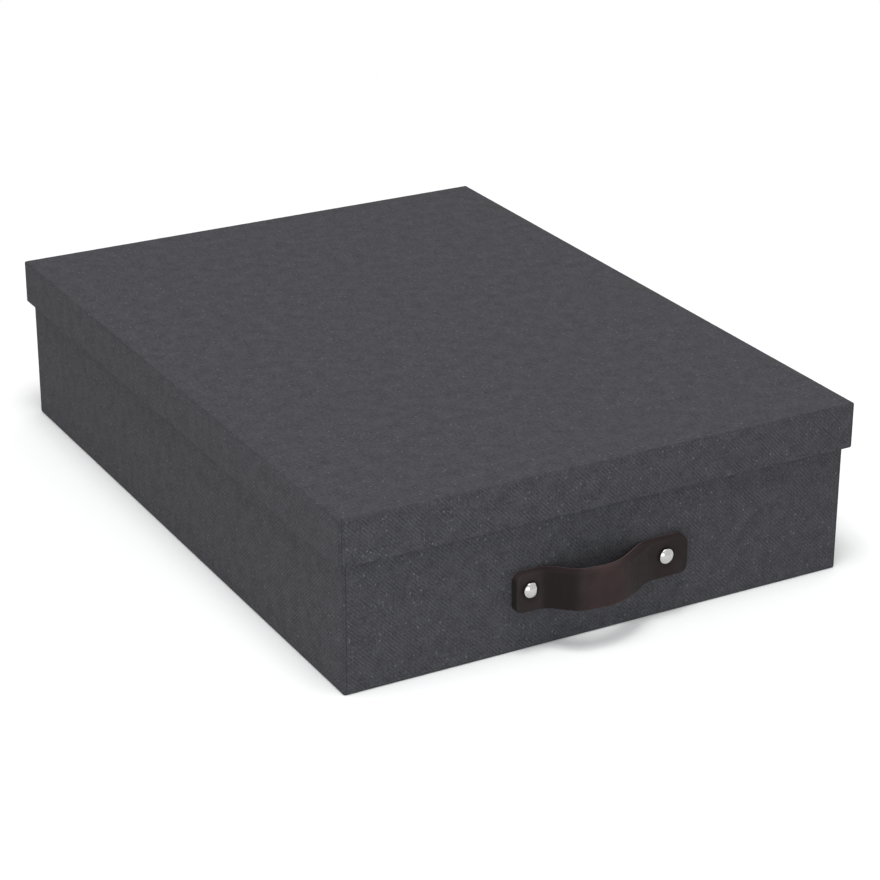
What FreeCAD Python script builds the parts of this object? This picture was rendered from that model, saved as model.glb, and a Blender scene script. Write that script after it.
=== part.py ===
"""Document box: a paper-covered greyboard box with a lift-off lid and a leather strap on its front.

Frame: origin at the middle of the underside, +X right along the front, +Y to the rear, +Z up.
Lengths are in millimetres. The front is the narrow side that carries the strap.
"""
import FreeCAD
import Part
import os
from math import hypot, tan
from FreeCAD import Vector

# Outside of the closed box
lid_width = 260.0
lid_depth = 355.0
box_height = 83.0
skirt_height = 22.0
base_width = 254.0
base_depth = 349.0

# Thickness of each sheet material
board = 2.0
cover = 0.28
lining = 0.12
floor_sheet = 0.3
stay_tape = 0.08

# How the sheets are folded and seated
fold_radius = 1.0
base_turn_in = 18.0
lid_turn_in = 15.0
lining_set_back = 3.0
stay_leg = 20.0
stay_inset = 1.6
seam_inset = 1.5
seam_step = 0.12
seam_end = 1.5
lid_seat_gap = 0.1

# Leather strap: each bow point is its place along the front, its rise off the wall and its bend radius
strap_thickness = 4.8
strap_width = 18.7
strap_mid_height = 29.3
strap_left_end = -46.3
strap_right_end = 41.2
strap_corner_radius = 3.6
strap_bevel = 0.55
bow_points = [(-31.2, 0.0, 11.0), (-19.6, 10.6, 12.0), (-0.8, 13.0, 26.0), (20.6, 0.0, 15.0)]

# Two-part rivets that hold the strap
rivet_places = {"left": -39.2, "right": 29.8}
rivet_height = 30.8
hole_diameter = 3.3
post_diameter = 3.2
head_diameter = 7.4
head_rim = 0.6
head_rise = 2.1
back_diameter = 8.0
back_thickness = 0.9
washer_diameter = 13.0
washer_thickness = 0.8

# Worked out from the sizes above
base_rim = box_height - cover - board - lining - lid_seat_gap
front = -base_depth / 2
wall_inside = front + cover + board + lining
post_reach = head_rise / 2
board_ease = (fold_radius - cover) * (2 - 2 ** 0.5)


def block(width, depth, low, high):
    """A box of this width and depth, centred on the upright axis, from height low to high."""
    return Part.makeBox(width, depth, high - low, Vector(-width / 2, -depth / 2, low))


def edges_along(shape, direction):
    """The straight edges that run along a direction."""
    lines = [edge for edge in shape.Edges if isinstance(edge.Curve, Part.Line)]
    return [edge for edge in lines if abs(edge.tangentAt(edge.FirstParameter).dot(direction)) > 0.999]


def edges_at(shape, level):
    """The edges that lie flat at this height."""
    return [edge for edge in shape.Edges
            if abs(edge.BoundBox.ZMin - level) < 1e-6 and abs(edge.BoundBox.ZMax - level) < 1e-6]


def eased_block(width, depth, low, high, ease):
    """A block with its four upright corners eased by a narrow flat."""
    shape = block(width, depth, low, high)
    return shape.makeChamfer(ease, edges_along(shape, Vector(0, 0, 1)))


def band(width, depth, wall, low, high):
    """A square-cornered band of even wall thickness, measured outside."""
    return block(width, depth, low, high).cut(block(width - 2 * wall, depth - 2 * wall, low, high))


def tray_boards(width, depth, height):
    """The five greyboards of a tray: four walls stand on the floor board, the front and rear full width."""
    tray = eased_block(width, depth, cover, height - cover, board_ease)
    tray = tray.makeChamfer(board_ease, edges_at(tray, cover))
    tray = tray.cut(block(width - 2 * board, depth - 2 * board, cover + board, height))
    tray = tray.makeChamfer(board_ease, edges_at(tray, height - cover))
    walls = tray.common(block(width, depth, cover + board, height))
    across = block(width, board, 0, height)
    to_front = Vector(0, (board - depth) / 2, 0)
    sides = walls.common(block(width, depth - 2 * board, 0, height)).Solids
    sides.sort(key=lambda side: side.CenterOfMass.x)
    return {"floor_board": tray.common(block(width, depth, 0, cover + board)),
            "front_board": walls.common(across.translated(to_front)),
            "rear_board": walls.common(across.translated(-to_front)),
            "left_board": sides[0],
            "right_board": sides[1]}


def corner_stays(width, depth, height):
    """Gummed tape folded round the four upright corners of the boards, under the cover."""
    low, high = cover + stay_inset, height - cover - stay_inset
    tape = eased_block(width + 2 * stay_tape, depth + 2 * stay_tape, low, high, board_ease)
    tape = tape.cut(eased_block(width, depth, low, high, board_ease))
    stays = {}
    for side, x in (("left", -1), ("right", 1)):
        for end, y in (("front", -1), ("rear", 1)):
            corner = block(2 * stay_leg, 2 * stay_leg, low, high)
            corner.translate(Vector(x * width / 2, y * depth / 2, 0))
            stays["corner_stay_" + end + "_" + side] = tape.common(corner)
    return stays


def corner_seams(width, depth, height):
    """Strips beside the corners where the front and rear flaps stop and the side flap lies lower."""
    strips = []
    for x in (-1, 1):
        for y in (-1, 1):
            strip = block(2 * seam_inset, 2 * seam_step, seam_end, height - seam_end)
            strips.append(strip.translated(Vector(x * width / 2, y * depth / 2, 0)))
    return strips


def cover_paper(width, depth, height, turn_in, inner_pieces):
    """One folded sheet: under the floor, up the four walls, over the rim and turned in."""
    sheet = block(width, depth, 0, height)
    sheet = sheet.makeFillet(fold_radius, edges_along(sheet, Vector(0, 0, 1)) + edges_at(sheet, 0))
    inside = 2 * (cover + board)
    turned = inside + 2 * cover
    sheet = sheet.cut(block(width - turned, depth - turned, height - turn_in, height))
    sheet = sheet.makeFillet(fold_radius, edges_at(sheet, height))
    room = block(width - inside, depth - inside, cover + board, height - turn_in)
    return sheet.cut([room] + inner_pieces + corner_seams(width, depth, height))


def wall_lining(width, depth, height, turn_in):
    """The strip that lines the walls: on the boards below, and over the turned-in cover above."""
    fold = height - turn_in
    on_boards = band(width, depth, lining, cover + board, fold)
    step = band(width, depth, cover + lining, fold - lining, fold)
    on_cover = band(width - 2 * cover, depth - 2 * cover, lining, fold, height - lining_set_back)
    return on_boards.fuse([step, on_cover]).removeSplitter()


def paper_tray(width, depth, height, turn_in, floor_lining):
    """All the pieces of one covered tray, standing mouth up with its underside at height 0."""
    board_width = width - 2 * cover
    board_depth = depth - 2 * cover
    pieces = tray_boards(board_width, board_depth, height)
    pieces.update(corner_stays(board_width, board_depth, height))
    pieces["cover_paper"] = cover_paper(width, depth, height, turn_in, list(pieces.values()))
    inner_width = board_width - 2 * board
    inner_depth = board_depth - 2 * board
    pieces["wall_lining"] = wall_lining(inner_width, inner_depth, height, turn_in)
    floor = cover + board
    pieces["floor_lining"] = block(inner_width - 2 * lining, inner_depth - 2 * lining,
                                   floor, floor + floor_lining)
    return pieces


def out_of_front(shape, x, start):
    """Lay a shape made on the +Z axis so that it points out of the front, at a rivet's place."""
    turned = shape.rotated(Vector(0, 0, 0), Vector(1, 0, 0), 90)
    return turned.translated(Vector(x, start, rivet_height))


def disc(diameter, x, start, length):
    """A round pin along the front's normal, from start outwards."""
    return out_of_front(Part.makeCylinder(diameter / 2, length), x, start)


def rivet_hole(x):
    """The hole that a rivet's post passes through, from inside the box to beyond the strap."""
    return disc(hole_diameter, x, wall_inside + 2 * washer_thickness, 20)


def bow_path():
    """The strap's middle line: flat feet, and a bow of straight runs joined by tangent arcs."""
    line = front - strap_thickness / 2
    spare = strap_thickness
    points = [(strap_left_end - spare, 0)] + [(x, rise) for x, rise, radius in bow_points]
    points.append((strap_right_end + spare, 0))
    corners = [Vector(x, line - rise, strap_mid_height) for x, rise in points]
    radii = [radius for x, rise, radius in bow_points]
    edges = []
    start = corners[0]
    for before, corner, after, radius in zip(corners, corners[1:], corners[2:], radii):
        into = (corner - before).normalize()
        out = (after - corner).normalize()
        reach = radius * tan(into.getAngle(out) / 2)
        first = corner - into * reach
        last = corner + out * reach
        middle = corner + (out - into).normalize() * (hypot(reach, radius) - radius)
        edges.append(Part.LineSegment(start, first).toShape())
        edges.append(Part.Arc(first, middle, last).toShape())
        start = last
    edges.append(Part.LineSegment(start, corners[-1]).toShape())
    return Part.Wire(edges)


def handle_strap():
    """A thick leather strap bowed out from the front, with bevelled long edges and rounded ends."""
    path = bow_path()
    start = path.Vertexes[0].Point
    half = Vector(0, strap_thickness / 2, strap_width / 2)
    across = Vector(0, half.y, -half.z)
    profile = Part.makePolygon([start + half, start + across, start - half, start - across, start + half])
    strap = path.makePipeShell([profile], True, False)
    level = [strap_mid_height - strap_width / 2, strap_mid_height + strap_width / 2]
    long_edges = [edge for edge in edges_at(strap, level[0]) + edges_at(strap, level[1])
                  if edge.BoundBox.XLength > strap_bevel]
    strap = strap.makeChamfer(strap_bevel, long_edges)
    outline = Part.makeBox(strap_right_end - strap_left_end, base_depth, strap_width,
                           Vector(strap_left_end, -base_depth, level[0]))
    outline = outline.makeFillet(strap_corner_radius, edges_along(outline, Vector(0, 1, 0)))
    return strap.common(outline).cut([rivet_hole(x) for x in rivet_places.values()])


def rivet_head(x):
    """The domed outer half of a rivet, with an upright rim and a socket for the post."""
    radius = head_diameter / 2
    socket = post_diameter / 2
    rise = head_rise - head_rim
    sphere = (radius ** 2 + rise ** 2) / (2 * rise)
    halfway = Vector(radius / 2, 0, head_rise - sphere + (sphere ** 2 - (radius / 2) ** 2) ** 0.5)
    top = Vector(0, 0, head_rise)
    shoulder = Vector(radius, 0, head_rim)
    corners = [shoulder, Vector(radius, 0, 0), Vector(socket, 0, 0), Vector(socket, 0, post_reach),
               Vector(0, 0, post_reach), top]
    outline = [Part.Arc(top, halfway, shoulder).toShape()]
    outline += [Part.makeLine(first, second) for first, second in zip(corners, corners[1:])]
    head = Part.Face(Part.Wire(outline)).revolve(Vector(0, 0, 0), Vector(0, 0, 1), 360)
    return out_of_front(head, x, front - strap_thickness)


def rivet_post(x):
    """The inner half of a rivet: a flat back with a rounded rim, and the post through every layer."""
    back = Part.makeCylinder(back_diameter / 2, back_thickness)
    back = back.makeChamfer(back_thickness / 2, edges_at(back, 0))
    seat = wall_inside + washer_thickness
    length = seat - front + strap_thickness + post_reach
    post = Part.makeCylinder(post_diameter / 2, back_thickness + length)
    return out_of_front(back.fuse(post).removeSplitter(), x, seat + back_thickness)


def washer(x):
    """A steel ring inside the box that spreads the pull of a rivet over the board."""
    plate = disc(washer_diameter, x, wall_inside + washer_thickness, washer_thickness)
    return plate.cut(rivet_hole(x))


def base_pieces():
    """The base tray, with the holes for the rivets in every layer of its front."""
    pieces = paper_tray(base_width, base_depth, base_rim, base_turn_in, floor_sheet)
    for layer in ("front_board", "cover_paper", "wall_lining"):
        pieces[layer] = pieces[layer].cut([rivet_hole(x) for x in rivet_places.values()])
    return {"base_" + name: shape for name, shape in pieces.items()}


def lid_pieces():
    """The lid: a shallow tray turned over, with its rim hanging down round the base."""
    pieces = paper_tray(lid_width, lid_depth, skirt_height, lid_turn_in, lining)
    names = {"floor_board": "top_board", "floor_lining": "top_lining", "wall_lining": "skirt_lining"}
    turned = {}
    for name, shape in pieces.items():
        over = shape.mirror(Vector(0, 0, 0), Vector(0, 0, 1))
        turned["lid_" + names.get(name, name)] = over.translated(Vector(0, 0, box_height))
    return turned


def strap_pieces():
    """The strap and the rivets that hold it on the front of the base."""
    pieces = {"handle_strap": handle_strap()}
    for side, x in rivet_places.items():
        pieces["rivet_head_" + side] = rivet_head(x)
        pieces["rivet_post_" + side] = rivet_post(x)
        pieces["rivet_washer_" + side] = washer(x)
    return pieces


os.makedirs("parts", exist_ok=True)
for family in (base_pieces(), lid_pieces(), strap_pieces()):
    for node, shape in family.items():
        if len(shape.Solids) != 1 or not shape.isValid():
            raise ValueError(node + " isn't one sound solid")
        shape.Solids[0].exportStep("parts/" + node + ".step")
        print("%-30s %10.1f mm3" % (node, shape.Volume))
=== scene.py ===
# %% [markdown]
# # A paper-covered document box with a leather strap
# The box is two greyboard trays, each wrapped in one folded sheet of dark paper with a fine twill pressed
# into it. The lid slips over the base, and a thick strap is riveted to the short front side. The boards,
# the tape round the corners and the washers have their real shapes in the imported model, so here they only
# get a finish. The covering sheets, the wall linings, the strap and the rivet caps are modelled anew,
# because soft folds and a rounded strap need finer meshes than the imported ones.

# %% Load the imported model
import math
import bmesh
import bpy
from mathutils import Matrix, Vector


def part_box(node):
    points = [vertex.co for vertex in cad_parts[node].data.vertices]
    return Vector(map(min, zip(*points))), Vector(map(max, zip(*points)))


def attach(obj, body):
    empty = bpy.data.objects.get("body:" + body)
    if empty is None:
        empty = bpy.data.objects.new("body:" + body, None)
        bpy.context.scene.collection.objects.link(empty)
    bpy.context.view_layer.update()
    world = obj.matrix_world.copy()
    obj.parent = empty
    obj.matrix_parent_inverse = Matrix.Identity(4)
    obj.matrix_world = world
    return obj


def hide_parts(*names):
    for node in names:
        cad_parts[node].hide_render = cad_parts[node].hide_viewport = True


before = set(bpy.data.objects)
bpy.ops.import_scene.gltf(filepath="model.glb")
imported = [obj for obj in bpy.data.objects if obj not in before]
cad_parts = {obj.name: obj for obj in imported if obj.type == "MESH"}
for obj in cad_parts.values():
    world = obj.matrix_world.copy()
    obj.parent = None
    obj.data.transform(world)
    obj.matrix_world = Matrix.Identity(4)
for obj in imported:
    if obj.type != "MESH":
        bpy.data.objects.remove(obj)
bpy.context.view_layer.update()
mm = 0.001

# %% [markdown]
# ## Where the picture was taken from
# A camera can be moved by eye until the outlines meet, but with a long lens that is slow. This one was
# worked out from the eleven outer corners of the two trays, measured in the photograph. It stands to the
# left of the front and looks down on the lid, with almost no perspective.

# %% Camera
camera_place = (-0.5674, -1.0502, 0.5456)
turn, tilt, roll = (math.radians(angle) for angle in (-29.03, 23.61, 0.17))
sensor_width, focal_length = 36.0, 108.9

camera_data = bpy.data.cameras.new("camera")
camera_data.sensor_width = sensor_width
camera_data.lens = focal_length
camera = bpy.data.objects.new("camera", camera_data)
bpy.context.scene.collection.objects.link(camera)
back = Vector((math.sin(turn) * math.cos(tilt), -math.cos(turn) * math.cos(tilt), math.sin(tilt)))
camera.location = camera_place
camera.rotation_euler = (-back).to_track_quat("-Z", "Y").to_euler()
camera.rotation_euler.rotate_axis("Z", roll)
bpy.context.scene.camera = camera
bpy.context.scene.view_settings.view_transform = "Standard"
print("camera distance from the middle of the ground:", round(camera.location.length, 3), "m")

# %% [markdown]
# ## Soft light from all round
# The photograph has the soft light of a white tent. A ring of lamps could make it, but an even world
# gives the same light with one number. It supplies a little over half of what a white sheet needs to look
# white. Where the camera sees the world itself, or its mirror image in metal, it is plain white: Light
# Path tells those rays from the ones that only carry light to the box.

# %% World
sky_strength = 0.6


def seen_directly(nodes, links):
    """A level of 1 for what the camera sees, also mirrored or through glass, and 0 for other light."""
    path = nodes.new("ShaderNodeLightPath")
    seen = path.outputs["Is Camera Ray"]
    for ray in ("Is Glossy Ray", "Is Transmission Ray"):
        either = nodes.new("ShaderNodeMath")
        either.operation = "MAXIMUM"
        links.new(seen, either.inputs[0])
        links.new(path.outputs[ray], either.inputs[1])
        seen = either.outputs[0]
    return seen


def plain_world(strength):
    """An even sky for the light, and clean white where it is seen directly."""
    world = bpy.data.worlds.new("studio")
    bpy.context.scene.world = world
    world.use_nodes = True
    nodes, links = world.node_tree.nodes, world.node_tree.links
    sky, white = nodes["Background"], nodes.new("ShaderNodeBackground")
    for light, level in ((sky, strength), (white, 1.0)):
        light.inputs["Color"].default_value = (1, 1, 1, 1)
        light.inputs["Strength"].default_value = level
    choice = nodes.new("ShaderNodeMixShader")
    links.new(seen_directly(nodes, links), choice.inputs["Fac"])
    links.new(sky.outputs[0], choice.inputs[1])
    links.new(white.outputs[0], choice.inputs[2])
    links.new(choice.outputs[0], nodes["World Output"].inputs["Surface"])


plain_world(sky_strength)
print("sky strength:", sky_strength)

# %% [markdown]
# ## Three lamps for direction
# Under an even sky all sides look alike, so lamps add what has a direction. Small lamps would draw hard
# edges to the shadows, so these are broad squares. One high up makes the lid a little lighter than the
# walls. A low one at the front left puts the shadow of the strap's bow above it, as in the picture, and
# gives the rivets their highlight. Its light has a little less red, like the front walls in the picture.
# A weak one lifts the left side.

# %% Lamps
def soft_lamp(name, place, aim, size, power, shade=(1, 1, 1)):
    """A square lamp at a place, turned towards a point."""
    data = bpy.data.lights.new(name, "AREA")
    data.shape = "SQUARE"
    data.size = size
    data.energy = power
    data.color = shade
    lamp = bpy.data.objects.new(name, data)
    bpy.context.scene.collection.objects.link(lamp)
    lamp.location = place
    lamp.rotation_euler = (Vector(aim) - Vector(place)).to_track_quat("-Z", "Y").to_euler()


soft_lamp("overhead", place=(-0.3, -0.5, 2.4), aim=(0, 0, 0), size=1.0, power=38)
soft_lamp("front", place=(-0.5, -0.95, 0.06), aim=(0, -0.18, 0.03), size=0.7, power=4.2, shade=(0.86, 1, 1))
soft_lamp("left", place=(-1.15, -0.15, 0.12), aim=(-0.13, 0, 0.04), size=0.5, power=0.5)

# %% [markdown]
# ## White ground
# The box stands on white paper that runs into a white background. Stronger lamps could burn the paper
# white, but they would wash out the box as well. So the ground is matt near the box, where it keeps the
# box's shadow, and further out it fades into plain white. The fade is measured from the middle of the
# ground. It counts only for what is seen directly or mirrored, so it throws no light on matt surfaces.

# %% Ground
matt_reach, white_reach = 0.45, 0.8
ground_half = 6


def piece(name, bm):
    """Turn a finished bmesh into an object of the scene."""
    mesh = bpy.data.meshes.new(name)
    bm.to_mesh(mesh)
    bm.free()
    obj = bpy.data.objects.new(name, mesh)
    bpy.context.scene.collection.objects.link(obj)
    return obj


def white_ground():
    """Matt white that keeps the box's shadow up to the first reach, and plain white past the second."""
    paint = bpy.data.materials.new("white_ground")
    paint.use_nodes = True
    nodes, links = paint.node_tree.nodes, paint.node_tree.links
    matt, white = nodes["Principled BSDF"], nodes.new("ShaderNodeEmission")
    matt.inputs["Base Color"].default_value = (0.96, 0.96, 0.96, 1)
    matt.inputs["Roughness"].default_value = 1.0
    matt.inputs["Specular IOR Level"].default_value = 0.0
    distance = nodes.new("ShaderNodeVectorMath")
    distance.operation = "LENGTH"
    links.new(nodes.new("ShaderNodeTexCoord").outputs["Object"], distance.inputs[0])
    far = nodes.new("ShaderNodeMapRange")
    far.inputs["From Min"].default_value = matt_reach
    far.inputs["From Max"].default_value = white_reach
    links.new(distance.outputs["Value"], far.inputs["Value"])
    share = nodes.new("ShaderNodeMath")
    share.operation = "MULTIPLY"
    links.new(far.outputs["Result"], share.inputs[0])
    links.new(seen_directly(nodes, links), share.inputs[1])
    choice = nodes.new("ShaderNodeMixShader")
    links.new(share.outputs[0], choice.inputs["Fac"])
    links.new(matt.outputs[0], choice.inputs[1])
    links.new(white.outputs[0], choice.inputs[2])
    links.new(choice.outputs[0], nodes["Material Output"].inputs["Surface"])
    return paint


grid = bmesh.new()
bmesh.ops.create_grid(grid, x_segments=1, y_segments=1, size=ground_half)
floor = piece("floor", grid)
floor.data.materials.append(white_ground())
print("ground keeps its shadow for", matt_reach, "m and is plain white from", white_reach, "m on")

# %% [markdown]
# ## Short words for surfaces
# A finish is a graph of small textures. It could be wired by hand in the shader editor, or node by node
# with three lines for each. This class keeps each step on one line: every call adds a node and gives back
# the socket that the next call reads. Places are counted in millimetres, because that is how a maker
# measures them.

# %% A kit for finishes
def tint(red, green, blue):
    """A colour as it should look on a screen, 0 to 255, turned into the light values that shaders use."""
    shares = [level / 255 for level in (red, green, blue)]
    return tuple(s / 12.92 if s <= 0.04045 else ((s + 0.055) / 1.055) ** 2.4 for s in shares) + (1,)


class Finish:
    """One material and the short calls that build its graph."""

    def __init__(self, name, **plain):
        self.material = bpy.data.materials.new(name)
        self.material.use_nodes = True
        self.tree = self.material.node_tree
        self.shader = self.tree.nodes["Principled BSDF"]
        self.finish(**plain)

    def feed(self, socket, value):
        """Link a socket, or set it if the value is plain."""
        if isinstance(value, bpy.types.NodeSocket):
            self.tree.links.new(value, socket)
        else:
            socket.default_value = value

    def add(self, kind, settings=None, **inputs):
        """Add a node, with its settings and its inputs."""
        made = self.tree.nodes.new(kind)
        for key, value in (settings or {}).items():
            setattr(made, key, value)
        for key, value in inputs.items():
            self.feed(made.inputs[key.replace("_", " ")], value)
        return made

    def math(self, operation, *values):
        """One step of arithmetic."""
        made = self.add("ShaderNodeMath", {"operation": operation})
        for socket, value in zip(made.inputs, values):
            self.feed(socket, value)
        return made.outputs[0]

    def ramp(self, value, low, high, to_low=0.0, to_high=1.0):
        """Stretch a range of a value smoothly onto another."""
        made = self.add("ShaderNodeMapRange", {"interpolation_type": "SMOOTHSTEP"}, Value=value)
        for key, level in zip(("From Min", "From Max", "To Min", "To Max"), (low, high, to_low, to_high)):
            self.feed(made.inputs[key], level)
        return made.outputs[0]

    def mix(self, share, first, second):
        """The first colour, turned into the second by a share from 0 to 1."""
        made = self.add("ShaderNodeMix", {"data_type": "RGBA"})
        for index, value in ((0, share), (6, first), (7, second)):
            self.feed(made.inputs[index], value)
        return made.outputs[2]

    def place(self, source, stretch=(1, 1, 1)):
        """Coordinates in millimetres, from the piece itself or from its flat cut."""
        if source == "flat":
            found = self.add("ShaderNodeUVMap", {"uv_map": "flat"}).outputs[0]
        else:
            found = self.add("ShaderNodeTexCoord").outputs["Object"]
        scale = tuple(side / mm for side in stretch)
        return self.add("ShaderNodeMapping", Vector=found, Scale=scale).outputs[0]

    def axes(self, place):
        """The three numbers of a place or a colour."""
        made = self.add("ShaderNodeSeparateXYZ", Vector=place)
        return made.outputs[0], made.outputs[1], made.outputs[2]

    def noise(self, place, size, detail=2.0, roughness=0.5):
        """Soft random levels whose blots are about this many millimetres across."""
        made = self.add("ShaderNodeTexNoise", Vector=place, Scale=1 / size, Detail=detail,
                        Roughness=roughness)
        return made.outputs[0]

    def cells(self, place, size):
        """Distance from the middle of scattered cells, and a random level for each cell."""
        made = self.add("ShaderNodeTexVoronoi", Vector=place, Scale=1 / size)
        return made.outputs["Distance"], self.axes(made.outputs["Color"])[0]

    def mark(self, name):
        """A level painted on the mesh."""
        return self.add("ShaderNodeAttribute", {"attribute_name": name}).outputs["Fac"]

    def bump(self, height, depth):
        """Relief of this many millimetres."""
        normal = self.add("ShaderNodeBump", Height=height, Distance=depth * mm)
        self.feed(self.shader.inputs["Normal"], normal.outputs[0])

    def finish(self, **surface):
        """Link or set sockets of the shader, and give back the material."""
        for socket, value in surface.items():
            self.feed(self.shader.inputs[socket.replace("_", " ")], value)
        return self.material


def dress(obj, material):
    """Give a whole piece one finish."""
    obj.data.materials.clear()
    obj.data.materials.append(material)


print("a mid grey of 128 is", round(tint(128, 128, 128)[0], 3), "in light values")

# %% [markdown]
# ## The weave pressed into the paper
# The sheet looks like canvas woven as a two-and-two twill: each thread passes over two others, and the
# next thread does the same one step along, which draws fine diagonal ribs. A picture of cloth could be
# laid on, but it would repeat, and blur from near. So the threads are worked out. One sine wave rounds a
# thread's back, a second lets it rise and dive along its run, and the higher of warp and weft is what
# shows.

# %% Twill
warp_pitch, weft_pitch = 0.478, 0.496
weft_height = 0.72
twill_repeat = 4


def twill(graph, across, along):
    """Height of the weave, and how far the warp stands above the weft."""
    columns, rows = graph.math("DIVIDE", across, warp_pitch), graph.math("DIVIDE", along, weft_pitch)
    floats = []
    for thread, run, shift, height in ((columns, rows, 0.0, 1.0), (rows, columns, 0.5, weft_height)):
        row = graph.math("FLOOR", thread)
        step = graph.math("MULTIPLY_ADD", graph.math("ADD", run, row), 1 / twill_repeat, shift)
        over = graph.math("SINE", graph.math("MULTIPLY", graph.math("FRACT", step), 2 * math.pi))
        side = graph.math("SINE", graph.math("MULTIPLY", graph.math("FRACT", thread), math.pi))
        lift = graph.math("MULTIPLY", graph.math("MAXIMUM", over, 0.0), side)
        floats.append(graph.math("MULTIPLY", lift, height))
    return graph.math("MAXIMUM", *floats), graph.math("SUBTRACT", floats[0], floats[1])


print("threads in 10 mm:", round(10 / warp_pitch, 1), "and", round(10 / weft_pitch, 1))

# %% [markdown]
# ## The covering paper
# Printed paper isn't one flat colour, and one colour would look like plastic. Here the weave only starts
# the tone. The threads wander a little, the weave fades where the press bit less, and thick places in the
# threads, grain and faint clouds are added. Pale fibre flecks are scattered over it, the folds are
# rubbed, and the narrow strip beside each upright corner gets painted shade. All of it reads the sheet's
# flat cut, so it turns a corner as folded paper does.

# %% Covering paper
def covering_paper():
    """Dark paper with the pressed twill, flecks, rubbed folds and painted shade beside the seams."""
    graph = Finish("covering_paper", Specular_IOR_Level=0.12)
    dark, light, pale_fibre = tint(42, 41, 45), tint(78, 77, 81), tint(108, 109, 112)
    rubbed, painted_shade = tint(48, 47, 50), tint(33, 33, 36)
    along_threads = ((1, 0.12, 1), (0.12, 1, 1))
    flat = graph.place("flat")
    across, along, _ = graph.axes(flat)
    wander = graph.noise(flat, 12.0, 3.0)
    across = graph.math("MULTIPLY_ADD", wander, 1.6, across)
    height, warp_or_weft = twill(graph, across, along)
    blots = graph.noise(flat, 7.0, 3.0)
    slubs = [graph.noise(graph.place("flat", stretch), 0.6, 2.0) for stretch in along_threads]
    grain = graph.noise(flat, 1.3, 3.0)
    pressed = graph.ramp(graph.noise(flat, 6.0, 2.0), 0.35, 0.65, 0.15, 1.0)
    tone = graph.math("MULTIPLY", warp_or_weft, graph.math("MULTIPLY", pressed, 0.6))
    for level, weight in ((slubs[0], 1.1), (slubs[1], 0.9), (grain, 1.6), (blots, 1.0)):
        tone = graph.math("MULTIPLY_ADD", graph.math("SUBTRACT", level, 0.5), weight, tone)
    colour = graph.mix(graph.ramp(tone, -1.2, 1.2), dark, light)
    distance, chance = graph.cells(graph.place("flat", (1, 0.7, 1)), 1.8)
    fleck = graph.math("MULTIPLY", graph.ramp(distance, 0.26, 0.08), graph.ramp(chance, 0.5, 1.0))
    colour = graph.mix(graph.math("MULTIPLY", fleck, 0.75), colour, pale_fibre)
    folds = graph.mark("fold")
    worn = graph.math("MULTIPLY", folds, graph.ramp(graph.noise(flat, 1.6), 0.4, 0.7, 0.1, 0.6))
    colour = graph.mix(worn, colour, rubbed)
    # Painted shade darkens the narrow strip beside each upright corner, where the side flap steps down.
    colour = graph.mix(graph.math("MULTIPLY", graph.mark("seam"), 0.6), colour, painted_shade)
    relief = graph.math("MULTIPLY", height, pressed)
    for level, weight in ((fleck, 0.8), (slubs[0], 1.0), (slubs[1], 0.8), (grain, 1.5)):
        relief = graph.math("MULTIPLY_ADD", level, weight, relief)
    graph.bump(relief, 0.05)
    return graph.finish(Base_Color=colour, Roughness=graph.ramp(slubs[1], 0.3, 0.7, 0.78, 0.9))


cover_finish = covering_paper()
print("covering paper uses", len(cover_finish.node_tree.nodes), "nodes")

# %% [markdown]
# ## One outline of a folded sheet
# A covered tray is one sheet: it lies under the floor, bends up the four walls, rolls over the rim and is
# turned in. A box with bevelled edges has that shape too, but it forgets how the paper ran. So the mesh
# is a stack of closed outlines, each one the tray's outline at one step of the sheet's way from the floor
# to its cut edge. An outline knows how far the sheet has travelled, which gives the flat cut. Beside each
# upright corner the front and rear flaps stop short, and the side flap under them lies a hair lower.

# %% Outlines
fold_radius, fold_parts = 1.0 * mm, 6
# A further point this near a fold keeps the face beside it flat.
near = 0.3 * mm
# The front and rear flaps stop this far short of the corner, and the side flap lies this much lower.
seam_inset, seam_step = 1.5 * mm, 0.1 * mm


def outline(width, depth, inset, travel, step, facing):
    """Rows of x, y, flat x, flat y, fold and seam, anticlockwise from the front right corner."""
    half_x, half_y = width / 2 - inset, depth / 2 - inset
    flat_x, flat_y = width / 2 + travel, depth / 2 + travel
    radius = max(fold_radius - inset, near)
    foot = half_y - step - radius
    quarter = [(half_x - seam_inset, half_y, half_x - seam_inset, flat_y, 0.0, 0.0),
               (half_x - seam_inset, half_y - step, flat_x, half_y + seam_inset, 0.0, 1.0)]
    for part in range(fold_parts + 1):
        angle = math.pi / 2 * (1 - part / fold_parts)
        quarter.append((half_x - radius + radius * math.cos(angle), foot + radius * math.sin(angle),
                        flat_x, foot + radius * angle, math.sin(2 * angle), 0.0))
    quarter.append((half_x, foot - near, flat_x, foot - near, 0.0, 0.0))
    rows = []
    for side, end, way in ((1, -1, 1), (1, 1, -1), (-1, 1, 1), (-1, -1, -1)):
        rows += [(side * x, end * y, side * u, end * v * facing, bent, gap)
                 for x, y, u, v, bent, gap in quarter[::way]]
    return rows


print("points in one outline:", len(outline(1, 1, 0, 0, 0, 1)))

# %% [markdown]
# ## From outlines to paper
# Faces could be listed by hand from the rows of points, but bridging two closed rings of edges is one
# operator and can't miss a face. The floor is one more face, filled into the first ring. After that the
# normals are worked out once for the whole sheet, and only the steps at the seams stay sharp. A Solidify
# modifier gives the paper its thickness last, towards the board, so the face keeps its real size.

# %% Sheets
sharp_angle = math.radians(50)


def hoop(bm, points):
    """Vertices at the points and the edges that join them into a closed ring."""
    verts = [bm.verts.new(point) for point in points]
    return verts, [bm.edges.new(pair) for pair in zip(verts, verts[1:] + verts[:1])]


def bridged(bm, hoops):
    """Smooth faces from each ring to the next."""
    for lower, upper in zip(hoops, hoops[1:]):
        bmesh.ops.bridge_loops(bm, edges=lower + upper)
    for face in bm.faces:
        face.smooth = True


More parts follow.
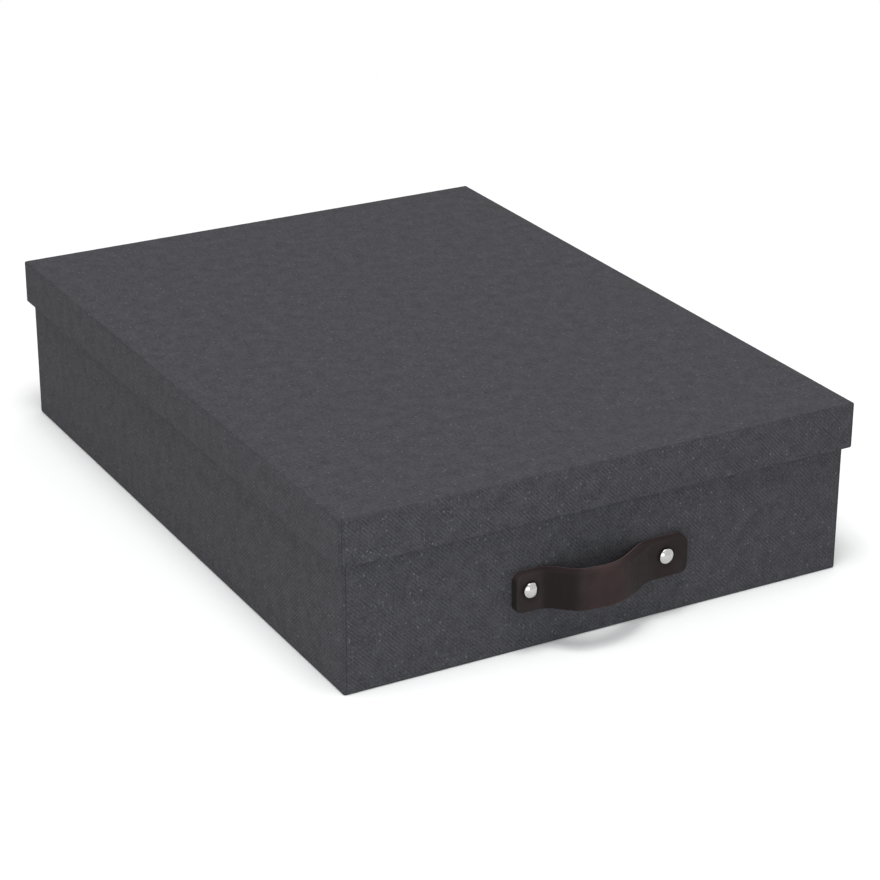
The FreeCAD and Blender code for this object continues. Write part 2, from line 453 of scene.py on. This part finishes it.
def sheet_rings(bm, plan, path, step, over):
    """A ring for each step of the path, each vertex's place on the flat cut, and the whole travel."""
    marks = [bm.verts.layers.float.new(mark) for mark in ("fold", "seam")]
    hoops, cut = [], {}
    travel = -path[0][0]
    for before, (inset, height, sharp) in zip(path[:1] + path, path):
        travel += math.dist(before[:2], (inset, height))
        drop = step * max(0.0, 1 - inset / fold_radius)
        rows = outline(*plan, inset, travel, drop, -1 if over is None else 1)
        level = height if over is None else over - height
        verts, edges = hoop(bm, [(x, y, level) for x, y, *_ in rows])
        hoops.append(edges)
        for vert, (_, _, u, v, bent, gap) in zip(verts, rows):
            vert[marks[0]], vert[marks[1]] = max(bent, sharp), gap
            cut[vert] = (u, v)
    return hoops, cut, travel


def folded_sheet(name, plan, path, paper, step=0.0, over=None, closed=True):
    """Bridge outlines along a section path. With over given, the piece hangs down from that height."""
    bm = bmesh.new()
    flat = bm.loops.layers.uv.new("flat")
    hoops, cut, travel = sheet_rings(bm, plan, path, step, over)
    bridged(bm, hoops)
    if closed:
        bmesh.ops.edgeloop_fill(bm, edges=hoops[0])
    bmesh.ops.recalc_face_normals(bm, faces=bm.faces)
    if not closed:
        bmesh.ops.reverse_faces(bm, faces=bm.faces)
    for edge in bm.edges:
        edge.smooth = len(edge.link_faces) < 2 or edge.calc_face_angle() < sharp_angle
    for face in bm.faces:
        for loop in face.loops:
            loop[flat].uv = cut[loop.vert]
    sheet = piece(name, bm)
    thickness = sheet.modifiers.new("paper", "SOLIDIFY")
    thickness.thickness = paper
    thickness.offset = -1.0
    inner = [side - 2 * path[-1][0] for side in plan]
    size = [side + 2 * travel for side in plan] if closed else [2 * sum(inner), travel + path[0][0]]
    print(name, "is cut from", [round(side / mm) for side in size], "mm of paper")
    return sheet


# %% [markdown]
# ## The two covering sheets
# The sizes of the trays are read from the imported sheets, so the fine meshes can't drift from them. The
# base sheet turns in 18 mm and the lid sheet 15 mm. The rim is two quarter folds, over the outer and the
# inner edge of the board. It could be level, but two rings at one height can't be bridged reliably, so it
# falls a hair towards the inside. The sheet is modelled thinner than the real one, so that its back
# clears the boards.

# %% Covering sheets of base and lid
board, cover_real, cover_modelled = 2.0 * mm, 0.28 * mm, 0.2 * mm
board_wall = board + 2 * cover_real
rim_slope = 0.02 * mm
base_turn_in, lid_turn_in = 18 * mm, 15 * mm


def fold(inset, height, start):
    """A quarter fold in section about a centre, clockwise from a start angle: inset, height and bend."""
    points = []
    for part in range(fold_parts + 1):
        angle = math.radians(start - 90 * part / fold_parts)
        points.append((inset + fold_radius * math.cos(angle), height + fold_radius * math.sin(angle),
                       math.sin(math.pi * part / fold_parts)))
    return points


def covering_path(height, turn_in):
    """The outer face of a covering sheet in section, from the floor's edge to the cut edge inside."""
    rim = height - fold_radius
    path = [(fold_radius + near, 0.0, 0.0)]
    path += fold(fold_radius, fold_radius, 270)
    path += [(0.0, fold_radius + near, 0.0), (0.0, rim - near, 0.0)]
    path += fold(fold_radius, rim, 180)
    path += fold(board_wall - fold_radius, rim - rim_slope, 90)
    path += [(board_wall, rim - near, 0.0), (board_wall, height - turn_in, 0.0)]
    return path


base_low, base_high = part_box("base_cover_paper")
lid_low, lid_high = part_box("lid_cover_paper")
base_plan, base_rim = tuple(base_high - base_low)[:2], base_high.z
lid_plan, top, skirt = tuple(lid_high - lid_low)[:2], lid_high.z, lid_high.z - lid_low.z
base_cover = folded_sheet("base_cover", base_plan, covering_path(base_rim, base_turn_in), cover_modelled,
                          seam_step)
lid_cover = folded_sheet("lid_cover", lid_plan, covering_path(skirt, lid_turn_in), cover_modelled,
                         seam_step, over=top)
for sheet, body in ((base_cover, "base"), (lid_cover, "lid")):
    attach(sheet, body)
    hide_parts(body + "_cover_paper")
    dress(sheet, cover_finish)

# %% [markdown]
# ## Lining paper
# A plain dark paper covers the boards inside. The cover's finish would do for it in a picture, but lining
# paper has no weave and is smoother. So it gets a finish of its own: short fibres that run one way are its
# grain, and wide faint clouds keep the large floor from looking dead.

# %% Lining paper
def lining_paper():
    """Plain dark paper with fibres and faint clouds."""
    graph = Finish("lining_paper", Specular_IOR_Level=0.3)
    dark, light, worn = tint(34, 34, 37), tint(47, 47, 50), tint(54, 54, 57)
    place = graph.place("piece")
    fibre = graph.noise(graph.place("piece", (1, 0.35, 1)), 0.9, 3.0, 0.6)
    cloud = graph.noise(place, 22.0, 2.0)
    colour = graph.mix(graph.ramp(fibre, 0.3, 0.7), dark, light)
    colour = graph.mix(graph.ramp(cloud, 0.35, 0.65, 0.0, 0.25), colour, worn)
    graph.bump(fibre, 0.03)
    return graph.finish(Base_Color=colour, Roughness=graph.ramp(cloud, 0.3, 0.7, 0.62, 0.78))


lining_finish = lining_paper()
print("lining paper uses", len(lining_finish.node_tree.nodes), "nodes")

# %% [markdown]
# ## Linings
# The strip round the walls climbs over the turned-in cover and stops 3 mm below the rim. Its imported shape
# has square corners, so it is folded again from the same outlines as the covers. It shows its inner face,
# so its rings run from the top edge down to the floor and its faces are turned round. The floor's and the
# lid's flat sheets are right as they are packed and only get the paper.

# %% Linings of walls and floors
lining_real, lining_modelled = 0.12 * mm, 0.1 * mm
lining_gap, clearance = 3 * mm, 0.02 * mm
base_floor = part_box("base_floor_lining")[1].z + clearance
lid_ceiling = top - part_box("lid_top_lining")[0].z + clearance


def lining_path(height, turn_in, floor_height):
    """The inner face of a wall lining in section: over the turned-in cover above, on the board below."""
    high, low = board_wall + lining_real, board_wall - cover_real + lining_real
    step = height - turn_in
    return [(high, height - lining_gap, 0.0), (high, step + near, 0.0),
            (low, step - near, 0.0), (low, floor_height, 0.0)]


base_lining = folded_sheet("base_wall_strip", base_plan, lining_path(base_rim, base_turn_in, base_floor),
                           lining_modelled, closed=False)
lid_lining = folded_sheet("lid_skirt_strip", lid_plan, lining_path(skirt, lid_turn_in, lid_ceiling),
                          lining_modelled, over=top, closed=False)
for strip, body, node in ((base_lining, "base", "base_wall_lining"),
                          (lid_lining, "lid", "lid_skirt_lining")):
    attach(strip, body)
    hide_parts(node)
    dress(strip, lining_finish)
for node in ("base_floor_lining", "lid_top_lining"):
    dress(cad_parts[node], lining_finish)

# %% [markdown]
# ## What is under the paper
# The boards, the gummed tape on their corners and the washers are hidden in the closed box, but whoever
# takes it apart sees them. Flat colours would do for hidden pieces. They get real finishes all the same:
# grey pressed board with coloured specks, brown kraft tape with strands, and zinc with its crystal
# spangle.

# %% Boards, tape and washers
def greyboard():
    """Pressed board of waste paper: mottled pulp with a few dark specks."""
    graph = Finish("greyboard", Roughness=0.9)
    dark, light, ink = tint(148, 141, 131), tint(182, 176, 166), tint(92, 84, 78)
    place = graph.place("piece")
    pulp = graph.noise(place, 1.2, 4.0, 0.65)
    distance, chance = graph.cells(place, 1.6)
    speck = graph.math("MULTIPLY", graph.ramp(distance, 0.25, 0.1), graph.ramp(chance, 0.75, 0.9))
    colour = graph.mix(graph.ramp(pulp, 0.3, 0.7), dark, light)
    colour = graph.mix(graph.math("MULTIPLY", speck, 0.6), colour, ink)
    graph.bump(pulp, 0.06)
    return graph.finish(Base_Color=colour)


def kraft_tape():
    """Brown gummed tape whose strands run up the corner."""
    graph = Finish("kraft_tape", Roughness=0.75)
    brown, straw = tint(158, 126, 88), tint(184, 152, 112)
    strands = graph.noise(graph.place("piece", (1, 1, 0.2)), 0.8, 3.0)
    colour = graph.mix(graph.ramp(strands, 0.3, 0.7), brown, straw)
    graph.bump(strands, 0.03)
    return graph.finish(Base_Color=colour)


def zinc():
    """Zinc plating with small crystals of different grey and gloss."""
    graph = Finish("zinc", Metallic=1.0)
    dull, bright = tint(188, 190, 194), tint(216, 218, 222)
    crystals, level = graph.cells(graph.place("piece"), 1.8)
    colour = graph.mix(level, dull, bright)
    graph.bump(crystals, 0.01)
    return graph.finish(Base_Color=colour, Roughness=graph.ramp(level, 0.0, 1.0, 0.28, 0.45))


under = (("board", greyboard(), "greyboard"), ("corner_stay", kraft_tape(), "stay_tape"),
         ("washer", zinc(), "washer_steel"))
for word, finish, slot_name in under:
    dressed = [node for name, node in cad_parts.items() if word in name]
    for node in dressed:
        dress(node, finish)
    print(len(dressed), "pieces with the finish", slot_name)

# %% [markdown]
# ## The line of the strap
# The strap lies flat under both rivets and bows away from the wall between them. Seen from above, its
# middle line is five straight runs joined by four round bends. A smooth curve through a few points would
# be quicker, but leather this thick keeps straight runs between its bends, as the picture shows. So every
# bend has a radius of its own, and arcs of that radius are laid into the corners. The ends come from the
# packed strap.

# %% Line of the bow
strap_low, strap_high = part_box("handle_strap")
strap_left, strap_right = strap_low.x, strap_high.x
wall_face, half_thick = -base_plan[1] / 2, 2.4 * mm
bend_parts = 12
# Place along the wall, rise and radius of each bend, in millimetres.
bow = ((-31.2, 0.0, 11.0), (-19.6, 10.6, 12.0), (-0.8, 13.0, 26.0), (20.6, 0.0, 15.0))


def bow_line():
    """The middle line in plan, place and rise, with every corner of the bow rounded."""
    ends = [Vector((strap_left, 0)), Vector((strap_right, 0))]
    corners = ends[:1] + [Vector(point[:2]) * mm for point in bow] + ends[1:]
    line = corners[:1]
    for before, corner, after, (_, _, radius) in zip(corners, corners[1:], corners[2:], bow):
        into, out = (corner - before).normalized(), (after - corner).normalized()
        reach = radius * mm * math.tan(into.angle(out) / 2)
        centre = corner + (out - into).normalized() * math.hypot(reach, radius * mm)
        for part in range(bend_parts + 1):
            chord = (corner - into * reach).lerp(corner + out * reach, part / bend_parts) - centre
            line.append(centre + chord.normalized() * radius * mm)
    return line + corners[-1:]


def lengths_along(line):
    """How long the line is up to each of its points."""
    lengths = [0.0]
    for first, second in zip(line, line[1:]):
        lengths.append(lengths[-1] + (second - first).length)
    return lengths


def on_line(line, lengths, along):
    """The spot at a length along the line, and the direction away from the wall there."""
    part = max(1, min(len(line) - 1, sum(length < along for length in lengths)))
    share = (along - lengths[part - 1]) / (lengths[part] - lengths[part - 1])
    spot = line[part - 1].lerp(line[part], share)
    heading = (line[part] - line[part - 1]).normalized()
    return spot, Vector((-heading.y, heading.x))


strap_line = bow_line()
strap_lengths = lengths_along(strap_line)
strap_whole = strap_lengths[-1]
print("strap is", round(strap_whole / mm, 1), "mm long when flat")

# %% [markdown]
# ## The strap cut across
# Nearly 5 mm of leather is cut with a blade: the face side is rubbed round, and the back keeps a crisper
# edge. A bevelled box would do for the edges, but the face isn't flat either. It falls a little towards
# both edges, and each rivet pulls it down as a button does a cushion. A cut across the strap carries all
# of that, and near the ends it shrinks, which rounds the strap's outline.

# %% Section of the strap
strap_middle = (strap_low.z + strap_high.z) / 2
half_width = (strap_high.z - strap_low.z) / 2
end_radius, face_edge, back_edge = 3.6 * mm, 1.3 * mm, 0.5 * mm
edge_parts, flat_parts = 6, 12
edge_fall, hollow_depth, hollow_reach, hollow_blend = 0.2 * mm, 0.7 * mm, 3.4 * mm, 1.7 * mm
rivets = {"left": -39.2 * mm, "right": 29.8 * mm}
rivet_height = 30.8 * mm


def rounded(distance, radius):
    """How far a rounded end draws in at this distance from its tip."""
    short = max(0.0, radius - distance)
    return radius - math.sqrt(radius * radius - short * short)


def section(wide, thick):
    """The strap cut across, softly rounded at the face and crisper at the back: place across and height."""
    points = []
    for across, up, start, radius in ((1, -1, -90, back_edge), (1, 1, 0, face_edge),
                                      (-1, 1, 90, face_edge), (-1, -1, 180, back_edge)):
        for part in range(edge_parts + 1):
            angle = math.radians(start + 90 / edge_parts * part)
            points.append((across * (wide - radius) + radius * math.cos(angle),
                           up * (thick - radius) + radius * math.sin(angle)))
        if across == up:
            first = points[-1]
            points += [(first[0] * (1 - part / flat_parts), first[1]) for part in range(1, 2 * flat_parts)]
    return points


def pressed(along, across, height, hollows):
    """The height of the face, lowered towards the long edges and round each rivet."""
    if height <= 0:
        return height
    crown = edge_fall * abs(across / half_width) ** 3
    distance = min(math.hypot(along - hollow, across - (rivet_height - strap_middle)) for hollow in hollows)
    sunk = hollow_depth * math.exp(-(max(0.0, distance - hollow_reach) / hollow_blend) ** 2)
    return height - (crown + sunk) * height / half_thick


print("points in one section:", len(section(half_width, half_thick)))

# %% [markdown]
# ## The strap
# Sections are set up along the middle line, crowded at the rounded ends, and bridged into one skin whose
# two ends are filled. A bent box would be easier, but it couldn't hold the hollows and the rounded ends
# in one closed surface. The colour differs over the strap, so each vertex also keeps four levels for the
# finish: how deep it lies in the cut edge, how near the cut end, whether it is on the crown of the bow,
# and how much painted shade its slope gets.

# %% Strap
end_parts, middle_parts = 10, 150
end_band = 0.6 * mm
crown_start, crown_rise = 9.6 * mm, 3.0 * mm
# Painted shade on the bow: strongest round the middle of the left slope, weak from the crown to the right
# end.
painted_shade_left_middle, painted_shade_left_half = -26.5 * mm, 9.0 * mm
painted_shade_right_start, painted_shade_right_level = 6.0 * mm, 0.2


def stations():
    """Lengths along the strap at which a section stands."""
    turns = [math.radians(90 * part / end_parts) for part in range(end_parts + 1)]
    tip = [end_radius * (1 - math.cos(angle)) for angle in turns]
    between = strap_whole - 2 * end_radius
    middle = [end_radius + between * part / middle_parts for part in range(1, middle_parts)]
    return tip + middle + [strap_whole - along for along in reversed(tip)]


def colour_and_shade_levels(spot, end, height):
    """How deep in the cut edge, how near the cut end, on the crown, and how much painted shade on a slope.
    """
    depth = (half_thick - height) / (2 * half_thick)
    near_end = max(0.0, 1 - end / end_band)
    crown = min(1.0, max(0.0, (spot.y - crown_start) / crown_rise))
    left = 1 - abs(spot.x - painted_shade_left_middle) / painted_shade_left_half
    right = painted_shade_right_level * min(1.0, spot.x / painted_shade_right_start)
    return depth, near_end, crown, max(0.0, left, right)


def strap():
    """Set the sections up along the line and bridge them."""
    # Both ends lie flat, so the rivets are as far along the strap as they are from its ends.
    hollows = (rivets["left"] - strap_left, strap_whole - (strap_right - rivets["right"]))
    bm = bmesh.new()
    marks = [bm.verts.layers.float.new(mark) for mark in ("depth", "end", "crown", "painted_slope_shade")]
    hoops = []
    for along in stations():
        spot, away = on_line(strap_line, strap_lengths, along)
        end = min(along, strap_whole - along)
        wide, thick = half_width - rounded(end, end_radius), half_thick - rounded(end, back_edge)
        cut = [(across, pressed(along, across, up, hollows)) for across, up in section(wide, thick)]
        points = [(spot + away * up, strap_middle + across) for across, up in cut]
        verts, edges = hoop(bm, [(at.x, wall_face - half_thick - at.y, level) for at, level in points])
        hoops.append(edges)
        for vert, (_, up) in zip(verts, cut):
            for mark, level in zip(marks, colour_and_shade_levels(spot, end, up)):
                vert[mark] = level
    bridged(bm, hoops)
    for edges in (hoops[0], hoops[-1]):
        bmesh.ops.edgeloop_fill(bm, edges=edges)
    bmesh.ops.recalc_face_normals(bm, faces=bm.faces)
    return piece("leather_strap", bm)


leather_strap = strap()
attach(leather_strap, "base")
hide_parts("handle_strap")
print("strap has", len(leather_strap.data.polygons), "faces")

# %% [markdown]
# ## Dyed leather, with painted shade and highlight
# The strap is a very dark brown, fine grained and nearly matt. An even brown with some gloss would look
# like rubber. Its colour is lighter and redder on the crown of the bow, and paler behind. Painted shade
# darkens both slopes of the bow, the left one most. The cut edges are paler, with a painted highlight that
# is strongest on the crown. Those differences follow the four levels kept on the mesh, and a cloudy noise
# breaks them up. Pores and creases are relief.

# %% Strap leather
def strap_leather():
    """Grain and dye by depth, cut end and crown, with painted shade on the slopes and a painted edge
    highlight.
    """
    graph = Finish("strap_leather", Specular_IOR_Level=0.04)
    dark, light, painted_shade = tint(43, 37, 37), tint(49, 42, 42), tint(33, 27, 27)
    reddish, pale_edge_and_highlight = tint(58, 43, 44), tint(76, 63, 64)
    back, cut_end = tint(124, 106, 106), tint(40, 37, 37)
    place = graph.place("piece")
    pores, _ = graph.cells(place, 0.45)
    cloud = graph.noise(place, 7.0, 3.0)
    creases = graph.noise(graph.place("piece", (1, 1, 0.4)), 1.1, 3.0, 0.6)
    colour = graph.mix(graph.ramp(cloud, 0.3, 0.7), dark, light)
    # Painted shade: darker over the slopes of the bow, most on the left one.
    colour = graph.mix(graph.ramp(graph.mark("painted_slope_shade"), 0.0, 0.5, 0.0, 0.9), colour, painted_shade)
    # Lighter and redder on the crown of the bow, broken up by the clouds.
    on_crown = graph.ramp(graph.mark("crown"), 0.0, 1.0)
    lighter_crown = graph.math("MULTIPLY", on_crown, graph.ramp(cloud, 0.25, 0.7, 0.5, 1.0))
    colour = graph.mix(graph.math("MULTIPLY", lighter_crown, 0.8), colour, reddish)
    depth = graph.mark("depth")
    # The cut edges are paler, and a painted highlight on them is stronger on the crown of the bow.
    down_edge = graph.ramp(depth, 0.08, 0.5)
    edge = graph.math("MULTIPLY", down_edge, graph.ramp(graph.mark("crown"), 0.0, 1.0, 0.2, 0.6))
    colour = graph.mix(edge, colour, pale_edge_and_highlight)
    colour = graph.mix(graph.ramp(depth, 0.84, 0.94, 0.0, 0.8), colour, back)
    colour = graph.mix(graph.math("MULTIPLY", graph.mark("end"), 0.8), colour, cut_end)
    height = graph.math("MULTIPLY_ADD", creases, 0.8, pores)
    graph.bump(height, 0.05)
    return graph.finish(Base_Color=colour, Roughness=graph.ramp(creases, 0.3, 0.7, 0.42, 0.56))


leather_finish = strap_leather()
dress(leather_strap, leather_finish)
print("leather uses", len(leather_finish.node_tree.nodes), "nodes")

# %% [markdown]
# ## Rivet caps
# Each rivet has a domed cap outside and a flat back on a post inside. A squashed sphere could pass for a
# cap, but the real one is turned or stamped, with a rim that tucks under. So half a section is spun round
# an upright axis, which is then tipped towards the front. The caps sit a little into the pressed leather.

# %% Turned caps
turning_steps = 72
# Radius and height in millimetres, from the middle of the back round to the top of the dome.
dome_radius, dome_height = 5.31, 2.1
cap_section = [(0, -0.7), (3.4, -0.7), (3.66, -0.5), (3.7, 0.1), (3.7, 0.35), (3.66, 0.55), (3.56, 0.7)]
cap_section += [(radius, dome_height - dome_radius + math.sqrt(dome_radius ** 2 - radius ** 2))
                for radius in (3.3, 2.8, 2.2, 1.5, 0.8, 0)]


def turned(name, half_section, place):
    """Spin half a section, given as radius and height, tip its axis to the front and move it to a place."""
    bm = bmesh.new()
    verts = [bm.verts.new((radius * mm, 0, height * mm)) for radius, height in half_section]
    edges = [bm.edges.new(pair) for pair in zip(verts, verts[1:])]
    bmesh.ops.spin(bm, geom=verts + edges, cent=(0, 0, 0), axis=(0, 0, 1), angle=2 * math.pi,
                   steps=turning_steps, use_merge=True)
    bmesh.ops.remove_doubles(bm, verts=bm.verts, dist=1e-6)
    bmesh.ops.recalc_face_normals(bm, faces=bm.faces)
    for face in bm.faces:
        face.smooth = True
    tipped = Matrix.Translation(place) @ Matrix.Rotation(math.radians(90), 4, "X")
    bmesh.ops.transform(bm, matrix=tipped, verts=bm.verts)
    return piece(name, bm)


strap_face = wall_face - 2 * half_thick
rivet_caps = {side: turned("rivet_cap_" + side, cap_section, (x, strap_face, rivet_height))
              for side, x in rivets.items()}
print("faces of a cap:", [len(cap.data.polygons) for cap in rivet_caps.values()])

# %% [markdown]
# ## Nickel plating
# The caps are bright and smooth enough to mirror the white ground below and the low lamp in front. A
# perfect mirror would look drawn, so faint clouds dull the polish here and there and hair scratches cross
# it. The posts inside are plated too.

# %% Rivet nickel
def nickel():
    """Polished plating: bright, with faint clouds and hair scratches."""
    graph = Finish("nickel", Metallic=1.0)
    dull, bright = tint(180, 179, 177), tint(196, 195, 193)
    place = graph.place("piece")
    cloud = graph.noise(place, 2.5, 2.0)
    scratch = graph.noise(graph.place("piece", (1, 1, 0.08)), 0.15, 2.0)
    colour = graph.mix(cloud, dull, bright)
    graph.bump(scratch, 0.002)
    return graph.finish(Base_Color=colour, Roughness=graph.ramp(cloud, 0.3, 0.7, 0.07, 0.16))


nickel_finish = nickel()
for side, cap in rivet_caps.items():
    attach(cap, "base")
    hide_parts("rivet_head_" + side)
    dress(cap, nickel_finish)
    dress(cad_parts["rivet_post_" + side], nickel_finish)
print("pieces in nickel:", len(rivet_caps) * 2)
